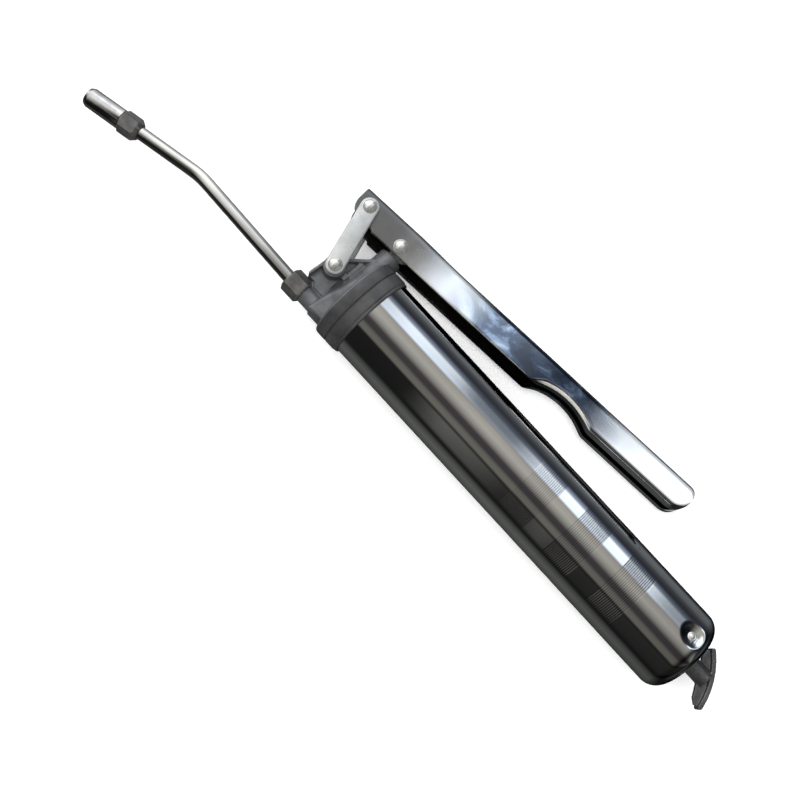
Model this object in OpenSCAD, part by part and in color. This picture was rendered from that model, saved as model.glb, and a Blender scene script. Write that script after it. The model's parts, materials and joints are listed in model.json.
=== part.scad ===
// Lever-action grease gun lying on its side.
//
// The gun is drawn in its own frame and then laid down by lay():
//   x runs along the barrel, 0 at the open edge of the head's skirt, + towards the T-handle
//   y runs from the barrel's axis towards the lever
//   z runs along the linkage pins
// After lay() the part stands on z = 0, on the skirt, the barrel's tail and the lever's tail corner.

/* [Barrel] */
// Outside diameter of the barrel
barrel_od = 57; // [54:0.5:60]
// Wall thickness of the barrel
barrel_wall = 1.2; // [1:0.1:1.6]
// Length of barrel that shows below the head
barrel_len = 282.6; // [260:1:320]
// Radius of the drawn corner at the tail
tail_corner_r = 10.8; // [8:0.2:16]
// Distance from the head to the first of the three rolled bands
first_band_x = 134.8; // [110:0.2:145]
// Distance from the start of one rolled band to the next
band_step = 38.05; // [25:0.05:42]
// Rings in each rolled band
band_rings = 15; // [8:1:16]
// Spacing of the rings
ring_pitch = 1.35; // [1:0.05:1.5]
// Depth of each rolled ring
ring_depth = 0.3; // [0.1:0.05:0.5]
// Diameter of the round dimple punched in the tail
dimple_d = 17.6; // [12:0.2:18]
// Depth of the dimple
dimple_depth = 2.6; // [1.5:0.1:3.5]

/* [Head] */
// Outside diameter of the head's skirt
skirt_od = 60.8; // [60:0.1:64]
// Length of the skirt and the end wall behind it
skirt_len = 19.2; // [17:0.2:22]
// Radius of the pump column
column_r = 8.3; // [7.8:0.1:9]
// Height of the pump column above the barrel's axis
column_top = 35.9; // [34:0.1:36.2]
// Depth of the column's foot below the barrel's axis
column_foot = 26.5; // [25:0.1:27]
// Radius of the pump bore
pump_bore_r = 4.15; // [3.6:0.05:4.4]
// Distance of the outlet below the barrel's axis
outlet_drop = 20.7; // [18:0.1:21]

/* [Linkage] */
// Width of the lever channel
lever_w = 25; // [24:0.5:27]
// Sheet thickness of the lever
lever_t = 1.5; // [1.2:0.1:2]
// Depth of the lever's walls at the head end
lever_h = 21.3; // [19:0.1:22]
// Length of the lever
lever_len = 278.5; // [260:1:290]
// Slope of the lever above the barrel when it is shut
lever_slope = 4.7; // [4:0.1:5]
// Diameter of the rivet shanks
rivet_d = 5; // [4:0.5:5]
// Diameter of the rivet heads
rivet_head_d = 9.4; // [8:0.1:10]
// Width of the two link plates
link_w = 12.2; // [11:0.1:13]
// Thickness of the two link plates
link_t = 3; // [2:0.5:3.5]

/* [Spout] */
// Outside diameter of the spout tube
tube_od = 8.6; // [8:0.1:9]
// Length of straight tube before the bend
tube_straight = 78.8; // [50:0.2:90]
// Length of straight tube after the bend
tube_after = 46.6; // [30:0.2:60]
// Angle of the bend
tube_bend = 13.6; // [0:0.2:20]
// Centre-line radius of the bend
tube_bend_r = 55; // [30:1:80]
// Width across the flats of the spout nut
nut_af = 15; // [14:0.1:16]
// Width across the flats of the coupler's hexagon
coupler_af = 13.6; // [13:0.1:16]
// Diameter of the coupler's sleeve
sleeve_d = 13.2; // [12:0.1:14]
// Radius of the coupler's mouth
mouth_r = 3.8; // [3.5:0.05:3.9]

/* [Follower] */
// Diameter of the follower rod
rod_d = 7; // [6:0.5:8]
// Diameter of the follower spring's wire
spring_wire = 2.2; // [1.8:0.1:3]
// Turns of the follower spring
spring_turns = 14; // [10:1:16]
// Half the span of the T-handle
handle_half = 17.6; // [16:0.5:24]
// Tilt of the T-handle's bar from square to the rod
handle_tilt = 29.6; // [0:0.2:35]
// Diameter of the T-handle's stem
stem_d = 11.6; // [10:0.2:13]

/* [Hidden] */
$fn = 64;
cut = 0.1;          // how far a cutter runs past the face it opens
running = 0.05;     // radial clearance of a shaft that turns or slides in its hole

barrel_r = barrel_od / 2;
barrel_in_r = barrel_r - barrel_wall;
skirt_r = skirt_od / 2;
skirt_x = -0.7;                        // open edge of the skirt
skirt_edge = 1;                        // rounding of the skirt's edges
groove_x = -10.8;                      // thin groove turned round the skirt
groove_half = 0.6;
groove_depth = 0.8;
head_x = skirt_x - skirt_len;          // outer face of the head's end wall
end_wall = 5.5;
seat_x = head_x + end_wall;            // face that the gasket seats on
gasket_t = 1.5;
gasket_in_r = 24.8;
barrel_start = seat_x + gasket_t;

column_x = -21.4;
column_edge = 0.8;
flare_y = 8;                           // where the column starts to widen downwards
foot_left = -31;
foot_half_z = 8.5;
foot_chamfer = 1;
gland_r = 6.2;
gland_depth = 6;
gland_ring_t = 1.8;
inlet_y = 8;
inlet_r = 3;
outlet_y = -outlet_drop;
boss_r = 6.15;
boss_end = -40.2;
nose_r = 5.4;
nose_end = -49;
valve_r = 3.6;
valve_seat_x = -31.5;
port_r = 2;
ball_r = 3;
ball_gap = 0.02;
ball_x = valve_seat_x - sqrt(ball_r * ball_r - port_r * port_r) - ball_gap;
tube_start = -46;

pivot_a = [-38.9, 2.15];               // link to head
pivot_b = [-52.7, 44.2];               // link to lever
pivot_c = [column_x, 42];              // lever to plunger
rivet_r = rivet_d / 2;
rivet_dome = 2.6;
lug_r = 7;
arm_slope = 47.8;                      // slope of the arm's diagonal rim
arm_run = 29.3;
arm_rim_t = 2.2;
arm_rim_half = 7;
upper_web_half = 3;
lower_web_half = 5;
pad_half = 8;
pad_low = -0.9;                        // the pad's lower face, from the pivot's centre
pad_t = 4.5;
rib_half = 6;
rib_t = 3;
rib_len = 16.4;
rib_out = 1.8;                         // how far the rib stands out of the column
strip_half = 10.5;
strip_t = 1.8;
strip_slant = 1.2;
plate_left = -44.3;
plate_right = -31.4;
plate_foot = -14.7;
plate_step = [3.3, 6];                 // the sloping corner that clears the spout's nut
plate_top = -1;
nut_clear_y = -11.8;

lever_front = [-62.5, 54];             // front end of the lever's back
lever_bend_r = 4;
lever_nose_r = 9.2;
lever_wall_start = 19.5;               // distances along the lever from its front end
scallop_x = 179.5;
scallop_r = 45.7;
scallop_rise = 7;
grip_start = 203.8;
grip_h = 20.3;
grip_bend_r = 3.5;
grip_slot = 8;
tail_top_r = 5;
tail_low_r = 10;
lip_w = 8.6;
half_w = lever_w / 2;
link_gap = 0.1;
link_z = half_w + link_gap;
eye_slip = [3.69, 2.43];               // travel of the rivet in the plunger's slot
eye_gap = 0.45;
eye_r = rivet_r + eye_gap;
eye_wall = 2.35;
tongue_half = 3.8;
plunger_tip = -13;

tube_wall = 1.7;
tube_rise = 1.4;                       // slight upward set of the tube in its nut
nut_len = 13.4;
nut_x = -53.7;
nut_back = 2.5;
nut_turn = 11;                         // turn of the hexagon about its own axis
hex_len = 13.8;
hex_socket = 6.8;
hex_turn = -14;
hex_end = hex_len - hex_socket;
sleeve_gap = 0.1;
sleeve_len = 26.2;
sleeve_nose = 1.2;
neck_r = 4.9;
neck_len = 10;
pocket_r = 3.8;
pocket_in = 3;
check_coil_r = 2.6;
check_wire = 0.7;
check_coil_back = 1.8;                 // from the ball's centre to the end of its spring
coupler_coil_r = 3;
coupler_wire = 0.8;
small_turns = 5;
small_turn_sides = 16;
jaw_count = 3;
jaw_len = 6;
jaw_in_r = 2.9;
jaw_out_r = 4.7;
lip_t = 1.6;
mouth_x = hex_end + sleeve_gap + sleeve_len;
jaw_x = mouth_x - lip_t - running - jaw_len;
seal_len = 3.5;
seal_x = jaw_x - running - seal_len;
seal_in_r = 1.2;

follower_x = 1;
cup_len = 16;
cup_floor = 5;
cup_lip = 3;
plate_t = 1.6;
plate_r = 23;
cup_back_x = follower_x + plate_t + cup_floor;
follower_nut_af = 15;
follower_nut_len = 5;
hub_r = rod_d / 2 + 2.6;
collar_len = 5;
collar_af = 11;
spring_r = 20.5;
tail_x = barrel_len - barrel_wall;     // inner face of the barrel's end
tail_seat_t = 1.5;
tail_seat_r = 21.8;
tail_flat_r = barrel_r - tail_corner_r;
corner_in_r = tail_corner_r - barrel_wall;
tail_seat_x = tail_x - corner_in_r + sqrt(pow(corner_in_r, 2) - pow(tail_seat_r - tail_flat_r, 2));
guide_r = 6.5;
guide_lip = 0.5;
guide_flange_r = 10;
guide_flange_t = 2;
handle_x = barrel_len + 0.7;
handle_socket = 8;
bar_mid = [handle_x + 17.7, 2];
bar_arc_r = 52;
bar_half_z = 4;
bar_r = 1.4;
bar_web = 3;
bar_hollow = [[-17, -6.4], [-13, -8.2], [13, -8.2], [17, -6.4]];

band_count = 3;
dimple_x = barrel_len - 13.8;
dimple_turn = 11.3;                    // turned from the +z side towards the lever
dimple_sphere_r = (dimple_d * dimple_d / 4 + dimple_depth * dimple_depth) / (2 * dimple_depth);
plug_r = 2.85;
plug_in = 2.4;
plug_out = 1.5;
plug_dome_r = 5;

// The resting pose: the pitch drops the tail from the skirt's radius to the barrel's,
// and the roll brings the lever's tail corner down to the same plane.
rest_pitch = asin((skirt_r - barrel_r) / (barrel_len - tail_corner_r));
lever_tail = lever_front + lever_len * [cos(lever_slope), sin(lever_slope)];
tail_drop = skirt_r - lever_bend_r - lever_tail[0] * sin(rest_pitch);
tail_y = lever_tail[1] - lever_bend_r;
tail_z = half_w - lever_bend_r;
rest_roll = asin(tail_drop / norm([tail_y, tail_z])) - atan2(tail_z, tail_y);
origin_x = 41.92;                         // middle of the part's length and width when laid down
origin_y = 17.33;

// ---------- placing and shared shapes ----------

module lay() {
    translate([-origin_x, -origin_y, skirt_r])
        rotate([0, rest_pitch, 0])
            rotate([-rest_roll, 0, 0]) children();
}

module at(p) {
    translate([p[0], p[1], 0]) children();
}

// A cylinder along x from x0 to x1.
module rod_x(r, x0, x1, fn = 64) {
    translate([x0, 0, 0]) rotate([0, 90, 0]) cylinder(r = r, h = x1 - x0, $fn = fn);
}

// A cylinder along y from y0 to y1.
module rod_y(r, y0, y1) {
    translate([0, y1, 0]) rotate([90, 0, 0]) cylinder(r = r, h = y1 - y0);
}

// A cylinder along z, centred on the gun's middle plane.
module pin_z(r, half) {
    cylinder(r = r, h = 2 * half, center = true);
}

// A plate with the given outline, centred on the gun's middle plane.
module plate_z(points, half) {
    translate([0, 0, -half]) linear_extrude(2 * half) polygon(points);
}

module tube_x(r_out, r_in, x0, x1) {
    difference() {
        rod_x(r_out, x0, x1);
        rod_x(r_in, x0 - cut, x1 + cut);
    }
}

// Turns a profile of [radius, x] points about the x axis.
module turned_x(points) {
    rotate([0, 90, 0]) rotate_extrude() polygon(points);
}

// A hexagonal prism along x with a flat facing +z, its chamfered corners turned down.
module hex_x(af, x0, x1, turn = 0) {
    corner_r = af / 2 / cos(30);
    bevel = corner_r - af / 2;
    intersection() {
        rotate([turn + 30, 0, 0]) rod_x(corner_r, x0, x1, 6);
        turned_x([
            [0, x0], [corner_r - bevel, x0], [corner_r, x0 + bevel],
            [corner_r, x1 - bevel], [corner_r - bevel, x1], [0, x1]
        ]);
    }
}

// A round wire wound about the x axis from x0 to x1.
module coil_x(r, wire, turns, x0, x1, per_turn = 24, sides = 6) {
    rings = turns * per_turn;
    pitch = (x1 - x0 - wire) / turns;
    points = [
        for (i = [0 : rings], j = [0 : sides - 1])
            let (a = 360 * i / per_turn, b = 360 * j / sides, rr = r + wire / 2 * cos(b))
                [x0 + wire / 2 + pitch * i / per_turn + wire / 2 * sin(b), rr * cos(a), rr * sin(a)]
    ];
    walls = [
        for (i = [0 : rings - 1], j = [0 : sides - 1])
            let (k = (j + 1) % sides, here = i * sides, next = (i + 1) * sides)
                [here + j, here + k, next + k, next + j]
    ];
    first = [[for (j = [sides - 1 : -1 : 0]) j]];
    last = [[for (j = [0 : sides - 1]) rings * sides + j]];
    polyhedron(points, concat(walls, first, last), convexity = 8);
}

// A flat bar with round ends between two points, square to z.
module bar_z(p, q, r, half) {
    along = q - p;
    translate([p[0], p[1], -half]) rotate([0, 0, atan2(along[1], along[0])]) {
        translate([0, -r, 0]) cube([norm(along), 2 * r, 2 * half]);
        for (end = [[0, 90], [norm(along), -90]])
            translate([end[0], 0, 0]) rotate([0, 0, end[1]])
                rotate_extrude(angle = 180) square([r, 2 * half]);
    }
}

// A rivet along z: a shank with a domed head at each end.
module rivet(head_z) {
    head_r = rivet_head_d / 2;
    dome_r = (head_r * head_r + rivet_dome * rivet_dome) / (2 * rivet_dome);
    pin_z(rivet_r, head_z);
    for (side = [-1, 1])
        intersection() {
            translate([0, 0, side * (head_z + rivet_dome - dome_r)]) sphere(r = dome_r);
            translate([0, 0, side * (head_z + rivet_dome)]) pin_z(head_r, rivet_dome);
        }
}

// ---------- head ----------

module skirt() {
    turned_x([
        [0, head_x], [skirt_r - 2 * skirt_edge, head_x],
        [skirt_r - skirt_edge / 2, head_x + 0.6 * skirt_edge], [skirt_r, head_x + 2 * skirt_edge],
        [skirt_r, groove_x - groove_half], [skirt_r - groove_depth, groove_x - groove_half / 2],
        [skirt_r - groove_depth, groove_x + groove_half / 2], [skirt_r, groove_x + groove_half],
        [skirt_r, skirt_x - skirt_edge / 2], [skirt_r - skirt_edge / 2, skirt_x],
        [barrel_r + running, skirt_x], [barrel_r + running, seat_x], [0, seat_x]
    ]);
}

module column() {
    foot_w = column_x + 4 - foot_left;
    straight = flare_y - 1;
    translate([column_x, 0, 0]) rotate([-90, 0, 0]) rotate_extrude() polygon([
        [0, straight], [column_r, straight], [column_r, column_top - column_edge],
        [column_r - column_edge, column_top], [0, column_top]
    ]);
    hull() {
        translate([column_x, straight, 0]) rotate([-90, 0, 0]) cylinder(r = column_r, h = 1, $fn = 48);
        translate([foot_left, -column_foot, -foot_half_z + foot_chamfer])
            cube([foot_w, 4, 2 * (foot_half_z - foot_chamfer)]);
        translate([foot_left + foot_chamfer, -column_foot + foot_chamfer, -foot_half_z])
            cube([foot_w - foot_chamfer, 3, 2 * foot_half_z]);
    }
}

// The arm that carries the link's lower rivet, with its rims, rib and webs.
module arm() {
    along = [cos(arm_slope), sin(arm_slope)];
    inward = [sin(arm_slope), -cos(arm_slope)];
    tangent = pivot_a - lug_r * inward;
    root = tangent + arm_run * along;
    lug_left = pivot_a[0] - lug_r;
    column_left = column_x - column_r;
    at(pivot_a) pin_z(lug_r, half_w);
    plate_z([tangent, root, root + arm_rim_t * inward, tangent + arm_rim_t * inward], arm_rim_half);
    plate_z([tangent, root, [column_x, outlet_y], [boss_end + 2, outlet_y],
        [plate_left + 1, nut_clear_y + 1], [plate_left + 1, pivot_a[1]]], upper_web_half);
    plate_z([[plate_left, pivot_a[1]], [plate_left, nut_clear_y],
        [plate_left + plate_step[0], nut_clear_y], [plate_left + plate_step[1], plate_foot],
        [plate_right, plate_foot], [plate_right, plate_top], pivot_a], lower_web_half);
    plate_z([[lug_left, pivot_a[1]], [lug_left - strip_slant, nut_clear_y],
        [lug_left - strip_slant + strip_t, nut_clear_y], [lug_left + strip_t, pivot_a[1]]], strip_half);
    translate([pivot_a[0], pivot_a[1] + pad_low, -pad_half])
        cube([column_left + 1 - pivot_a[0], pad_t, 2 * pad_half]);
    translate([column_left - rib_out, pivot_a[1], -rib_half])
        cube([rib_t, rib_len, 2 * rib_half]);
}

module outlet_boss() {
    translate([0, outlet_y, 0]) {
        rod_x(boss_r, boss_end, column_x);
        rod_x(nose_r, nose_end, boss_end + cut);
    }
}

module pump_bores() {
    translate([column_x, 0, 0]) {
        rod_y(pump_bore_r, outlet_y, column_top + cut);
        rod_y(gland_r, column_top - gland_depth, column_top + cut);
    }
    translate([0, outlet_y, 0]) {
        rod_x(port_r, valve_seat_x - cut, column_x);
        rod_x(valve_r, nose_end - cut, valve_seat_x);
    }
    tube_socket();
    translate([0, inlet_y, 0]) rod_x(inlet_r, column_x, 0);
}

module head() {
    color("dimgray") lay() difference() {
        union() {
            skirt();
            column();
            arm();
            outlet_boss();
        }
        pump_bores();
        tube_x(barrel_r + running, gasket_in_r, seat_x, 0);
        at(pivot_a) pin_z(rivet_r, half_w + cut);
    }
}

module head_gasket() {
    color("black") lay() tube_x(barrel_r, gasket_in_r + running, seat_x, barrel_start);
}

// ---------- barrel ----------

// The solid inside the barrel's outline once it is drawn in by inset.
module barrel_solid(inset, from_x) {
    r = barrel_r - inset;
    corner = tail_corner_r - inset;
    len = barrel_len - inset - from_x;
    translate([from_x, 0, 0]) rotate([0, 90, 0]) rotate_extrude($fn = 128) {
        square([r, len - corner]);
        square([r - corner, len]);
        translate([r - corner, len - corner]) circle(r = corner);
    }
}

// The rolled rings of one band.
module ring_cuts(x0) {
    for (i = [0 : band_rings - 1])
        turned_x([for (p = [[0, -1], [1, 0], [0, 1], [-1, 0]])
            [barrel_r + ring_depth * p[0], x0 + (i + 0.5) * ring_pitch + ring_depth * p[1]]]);
}

// Carries its children to the floor of the dimple, with +z pointing out of the barrel.
module at_dimple() {
    rotate([-dimple_turn, 0, 0]) translate([dimple_x, 0, barrel_r - dimple_depth]) children();
}

module barrel() {
    color("silver") lay() difference() {
        union() {
            difference() {
                barrel_solid(0, barrel_start);
                barrel_solid(barrel_wall, barrel_start - cut);
            }
            intersection() {
                at_dimple() translate([0, 0, dimple_sphere_r]) sphere(r = dimple_sphere_r + barrel_wall);
                barrel_solid(barrel_wall / 2, dimple_x - dimple_d);
            }
        }
        for (i = [0 : band_count - 1]) ring_cuts(first_band_x + i * band_step);
        at_dimple() translate([0, 0, dimple_sphere_r]) sphere(r = dimple_sphere_r);
        at_dimple() pin_z(plug_r, plug_in + cut);
        rod_x(guide_r, tail_x - cut, barrel_len + cut);
    }
}

module tail_plug() {
    color("lightgray") lay() at_dimple() intersection() {
        translate([0, 0, -plug_in]) cylinder(r = plug_r, h = plug_in + plug_out);
        translate([0, 0, plug_out - plug_dome_r]) sphere(r = plug_dome_r);
    }
}

module rod_guide() {
    color("dimgray") lay() difference() {
        union() {
            rod_x(guide_r, tail_x - cut, barrel_len + guide_lip);
            rod_x(guide_flange_r, tail_x - guide_flange_t, tail_x);
        }
        rod_x(rod_d / 2 + running, tail_x - guide_flange_t - cut, barrel_len + 1);
    }
}

module spring_seat() {
    color("gray") lay()
        tube_x(tail_seat_r, guide_flange_r + running, tail_seat_x - tail_seat_t, tail_seat_x);
}

// ---------- pump ----------

module plunger_packing() {
    color("black") lay() translate([column_x, 0, 0]) difference() {
        rod_y(gland_r, column_top - gland_depth, column_top - gland_ring_t);
        rod_y(pump_bore_r, 0, column_top);
    }
}

module gland_ring() {
    color("goldenrod") lay() translate([column_x, 0, 0]) difference() {
        rod_y(gland_r, column_top - gland_ring_t, column_top);
        rod_y(pump_bore_r, 0, column_top + cut);
    }
}

module plunger() {
    slip_end = pivot_c + eye_slip;
    color("lightgray") lay() difference() {
        union() {
            translate([column_x, 0, 0])
                rod_y(pump_bore_r - running, plunger_tip, pivot_c[1] - eye_r - eye_wall / 2);
            bar_z(pivot_c, slip_end, eye_r + eye_wall, tongue_half);
        }
        bar_z(pivot_c, slip_end, eye_r, tongue_half + cut);
    }
}

module check_ball() {
    color("silver") lay() translate([ball_x, outlet_y, 0]) sphere(r = ball_r);
}

module check_spring() {
    color("gray") lay() translate([0, outlet_y, 0])
        coil_x(check_coil_r, check_wire, small_turns, tube_start + 3 * running,
            ball_x - check_coil_back, small_turn_sides);
}

// ---------- spout ----------

module spout_nut() {
    color("dimgray") lay() difference() {
        translate([0, outlet_y, 0]) hex_x(nut_af, nut_x, nut_x + nut_len, nut_turn);
        translate([0, outlet_y, 0])
            rod_x(nose_r + running, nut_x + nut_back, nut_x + nut_len + cut);
        tube_socket();
    }
}

module spout_ferrule() {
    color("goldenrod") lay() difference() {
        translate([0, outlet_y, 0]) rod_x(nose_r - cut, nut_x + nut_back, nose_end);
        tube_socket();
    }
}

// Carries its children to the nut's mouth, with x along the tube.
module past_nut() {
    translate([nut_x, outlet_y, 0]) rotate([0, 0, -tube_rise]) children();
}

// The hole that the tube stands in, through the nut and into the head.
module tube_socket() {
    past_nut() rod_x(tube_od / 2 + running, -cut, tube_start - nut_x);
}

// Carries its children to the end of the spout, with +x pointing out of it.
module at_spout_end() {
    past_nut() translate([-tube_straight, -tube_bend_r, 0])
        rotate([0, 0, tube_bend]) translate([-tube_after, tube_bend_r, 0])
            rotate([0, 0, 180]) children();
}

// The tube's whole run as a solid round bar.
module spout_bar(r, extra = 0) {
    past_nut() {
        rod_x(r, -tube_straight, tube_start - nut_x + extra);
        translate([-tube_straight, -tube_bend_r, 0]) rotate([0, 0, 90])
            rotate_extrude(angle = tube_bend) translate([tube_bend_r, 0]) circle(r = r);
    }
    at_spout_end() rod_x(r, -tube_after, extra);
}

module spout_tube() {
    color("silver") lay() difference() {
        spout_bar(tube_od / 2);
        spout_bar(tube_od / 2 - tube_wall, cut);
    }
}

// ---------- coupler: x = 0 at the tube's end, + towards the mouth ----------

module coupler_body() {
    color("dimgray") lay() at_spout_end() difference() {
        union() {
            hex_x(coupler_af, -hex_socket, hex_end, hex_turn);
            rod_x(neck_r, 0, hex_end + neck_len);
        }
        rod_x(tube_od / 2 + running, -hex_socket - cut, 0);
        rod_x(tube_od / 2 - tube_wall, -cut, hex_end);
        rod_x(pocket_r, hex_end - pocket_in, hex_end + neck_len + cut);
    }
}

module coupler_sleeve() {
    x0 = hex_end + sleeve_gap;
    r = sleeve_d / 2;
    color("silver") lay() at_spout_end() difference() {
        turned_x([
            [0, x0], [r - 0.5, x0], [r, x0 + 0.5], [r, mouth_x - 2 * sleeve_nose],
            [r - sleeve_nose, mouth_x], [0, mouth_x]
        ]);
        rod_x(neck_r, x0 - cut, mouth_x - lip_t);
        rod_x(mouth_r, x0, mouth_x + cut);
    }
}

module coupler_jaws() {
    slit = 0.8;
    color("gray") lay() at_spout_end() difference() {
        tube_x(jaw_out_r, jaw_in_r, jaw_x, jaw_x + jaw_len);
        for (i = [0 : jaw_count - 1])
            rotate([360 / jaw_count * i, 0, 0]) translate([jaw_x - cut, 0, -slit / 2])
                cube([jaw_len + 2 * cut, jaw_out_r + 1, slit]);
    }
}

module coupler_seal() {
    color("black") lay() at_spout_end() tube_x(jaw_out_r, seal_in_r, seal_x, seal_x + seal_len);
}

module coupler_spring() {
    color("gray") lay() at_spout_end()
        coil_x(coupler_coil_r, coupler_wire, small_turns, hex_end - pocket_in + running,
            seal_x - running, small_turn_sides);
}

// ---------- linkage ----------

module link_plate(side) {
    color("silver") lay() translate([0, 0, side * (link_z + link_t / 2)]) difference() {
        bar_z(pivot_a, pivot_b, link_w / 2, link_t / 2);
        at(pivot_a) pin_z(rivet_r + running, link_t);
        at(pivot_b) pin_z(rivet_r, link_t);
    }
}

module link_near() {
    link_plate(1);
}

module link_far() {
    link_plate(-1);
}

module head_rivet() {
    color("silver") lay() at(pivot_a) rivet(link_z + link_t + running);
}

module link_rivet() {
    color("silver") lay() at(pivot_b) rivet(link_z + link_t);
}

module plunger_rivet() {
    color("silver") lay() at(pivot_c) rivet(half_w);
}

// ---------- lever: x along its back from the front end, y = 0 at the back ----------

module at_lever() {
    at(lever_front) rotate([0, 0, lever_slope]) children();
}

function to_lever(p) =
    let (d = p - lever_front, c = cos(lever_slope), s = sin(lever_slope))
        [c * d[0] + s * d[1], c * d[1] - s * d[0]];

// The outline of a folded plate, w wide and h deep: back corners bent to r, lower ones to r_low.
module folded(w, h, r, r_low = 0) {
    translate([-w / 2, r_low - h]) square([w, h - r - r_low]);
    translate([-w / 2 + r, -h + r_low]) square([w - 2 * r, h - r_low]);
    for (side = [-1, 1]) translate([side * (w / 2 - r), -r]) circle(r = r);
    if (r_low > 0) {
        translate([-w / 2 + r_low, -h]) square([w - 2 * r_low, h / 2]);
        for (side = [-1, 1]) translate([side * (w / 2 - r_low), r_low - h]) circle(r = r_low);
    }
}

// The sheet along the whole lever: an open channel at the head end, and a grip that is folded in.
module sheet() {
    deep = lever_h + 2;
    rotate([0, 90, 0]) linear_extrude(grip_start) difference() {
        folded(lever_w, deep, lever_bend_r);
        translate([0, -lever_t]) folded(lever_w - 2 * lever_t, deep, lever_bend_r - lever_t);
    }
    translate([grip_start, 0, 0]) rotate([0, 90, 0]) linear_extrude(lever_len - grip_start) difference() {
        folded(lever_w, grip_h, lever_bend_r, grip_bend_r);
        translate([0, -lever_t])
            folded(lever_w - 2 * lever_t, grip_h - 2 * lever_t,
                lever_bend_r - lever_t, grip_bend_r - lever_t);
        translate([-grip_slot / 2, -deep]) square([grip_slot, deep / 2]);
    }
}

// The side view of the lever: front nose, straight wall, finger scallop and grip.
module side_view() {
    nose = to_lever(pivot_b);
    scallop_y = scallop_rise - lever_h - scallop_r;
    tail_start = lever_len - tail_low_r;
    difference() {
        union() {
            translate([1 + nose[0] - lever_nose_r, nose[1]]) square([lever_nose_r, -nose[1]]);
            translate(nose) circle(r = lever_nose_r);
            translate([nose[0], -lever_h]) square([grip_start - nose[0], lever_h]);
            translate([grip_start - 1, -grip_h]) square([tail_start - grip_start + 1, grip_h]);
            translate([tail_start - 1, tail_low_r - grip_h])
                square([tail_low_r + 1, grip_h - tail_low_r - tail_top_r]);
            translate([tail_start - 1, -grip_h / 2]) square([tail_low_r + 1 - tail_top_r, grip_h / 2]);
            translate([tail_start, tail_low_r - grip_h]) circle(r = tail_low_r);
            translate([lever_len - tail_top_r, -tail_top_r]) circle(r = tail_top_r);
        }
        translate([scallop_x, scallop_y]) circle(r = scallop_r, $fn = 128);
        translate([0, -lever_h - 1]) square([lever_wall_start, lever_h + 1 + nose[1] - lever_nose_r]);
    }
}

// The lips folded in along the finger scallop.
module scallop_lips() {
    scallop_y = scallop_rise - lever_h - scallop_r;
    half_span = grip_start - scallop_x;
    for (z0 = [-half_w, half_w - lip_w])
        intersection() {
            translate([scallop_x, scallop_y, 0]) difference() {
                cylinder(r = scallop_r + lever_t, h = lever_w, center = true, $fn = 128);
                cylinder(r = scallop_r, h = lever_w + 2, center = true, $fn = 128);
            }
            translate([scallop_x - half_span, -lever_h, z0])
                cube([2 * half_span, scallop_rise + lever_t, lip_w]);
        }
}

module lever() {
    color("silver") lay() difference() {
        at_lever() {
            intersection() {
                sheet();
                translate([0, 0, -half_w - 1]) linear_extrude(lever_w + 2) side_view();
            }
            scallop_lips();
        }
        at(pivot_b) pin_z(rivet_r + running, half_w + cut);
        at(pivot_c) pin_z(rivet_r, half_w + cut);
    }
}

// ---------- follower ----------

module follower_cup() {
    floor_x = follower_x + plate_t;
    seal_r = barrel_in_r - running;
    color("black") lay() difference() {
        turned_x([
            [0, floor_x], [plate_r - 1, floor_x], [seal_r - 0.8, floor_x + 0.8], [seal_r, floor_x + 2],
            [seal_r, follower_x + cup_len], [barrel_in_r - cup_lip, follower_x + cup_len],
            [barrel_in_r - cup_lip - 1, cup_back_x], [0, cup_back_x]
        ]);
        rod_x(rod_d / 2 + 1, follower_x, follower_x + cup_len);
    }
}

module follower_front_plate() {
    color("gray") lay() tube_x(plate_r - 3, rod_d / 2 + running, follower_x, follower_x + plate_t);
}

module follower_back_plate() {
    color("gray") lay() tube_x(plate_r - 0.5, hub_r, cup_back_x, cup_back_x + plate_t);
}

module follower_nut() {
    nut_start = cup_back_x + plate_t;
    color("dimgray") lay() difference() {
        union() {
            hex_x(follower_nut_af, nut_start, nut_start + follower_nut_len);
            rod_x(hub_r, cup_back_x, nut_start + cut);
        }
        rod_x(rod_d / 2 + running, cup_back_x - cut, nut_start + follower_nut_len + cut);
    }
}

module follower_spring() {
    color("slategray") lay()
        coil_x(spring_r, spring_wire, spring_turns, cup_back_x + plate_t + running,
            tail_seat_x - tail_seat_t - running);
}

module follower_rod() {
    color("silver") lay() rod_x(rod_d / 2, follower_x - collar_len - 1, handle_x + handle_socket);
}

module rod_collar() {
    color("dimgray") lay() difference() {
        hex_x(collar_af, follower_x - collar_len, follower_x - running);
        rod_x(rod_d / 2, follower_x - collar_len - cut, follower_x);
    }
}

// A point of the handle beside the middle of its bar: a along the bar, b outwards.
function beside_bar(a, b) =
    bar_mid + [b * cos(handle_tilt) - a * sin(handle_tilt), b * sin(handle_tilt) + a * cos(handle_tilt)];

// A point of the handle's bowed rim, u from -1 to 1 along it.
function rim_point(u) =
    let (a = handle_half * u)
        beside_bar(a, sqrt(bar_arc_r * bar_arc_r - a * a) - bar_arc_r);

module t_handle() {
    steps = 6;
    rim = [for (i = [0 : steps]) rim_point(1 - 2 * i / steps)];
    inner = [for (p = bar_hollow) beside_bar(p[0], p[1])];
    color([0.25, 0.25, 0.27]) lay() difference() {
        union() {
            rod_x(stem_d / 2, handle_x, bar_mid[0] - 2);
            for (i = [0 : steps - 1])
                hull() {
                    at(rim[i]) pin_z(bar_r, bar_half_z, $fn = 32);
                    at(rim[i + 1]) pin_z(bar_r, bar_half_z, $fn = 32);
                }
            plate_z(concat(rim, inner), bar_web / 2);
        }
        rod_x(rod_d / 2, handle_x - cut, handle_x + handle_socket);
    }
}

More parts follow.
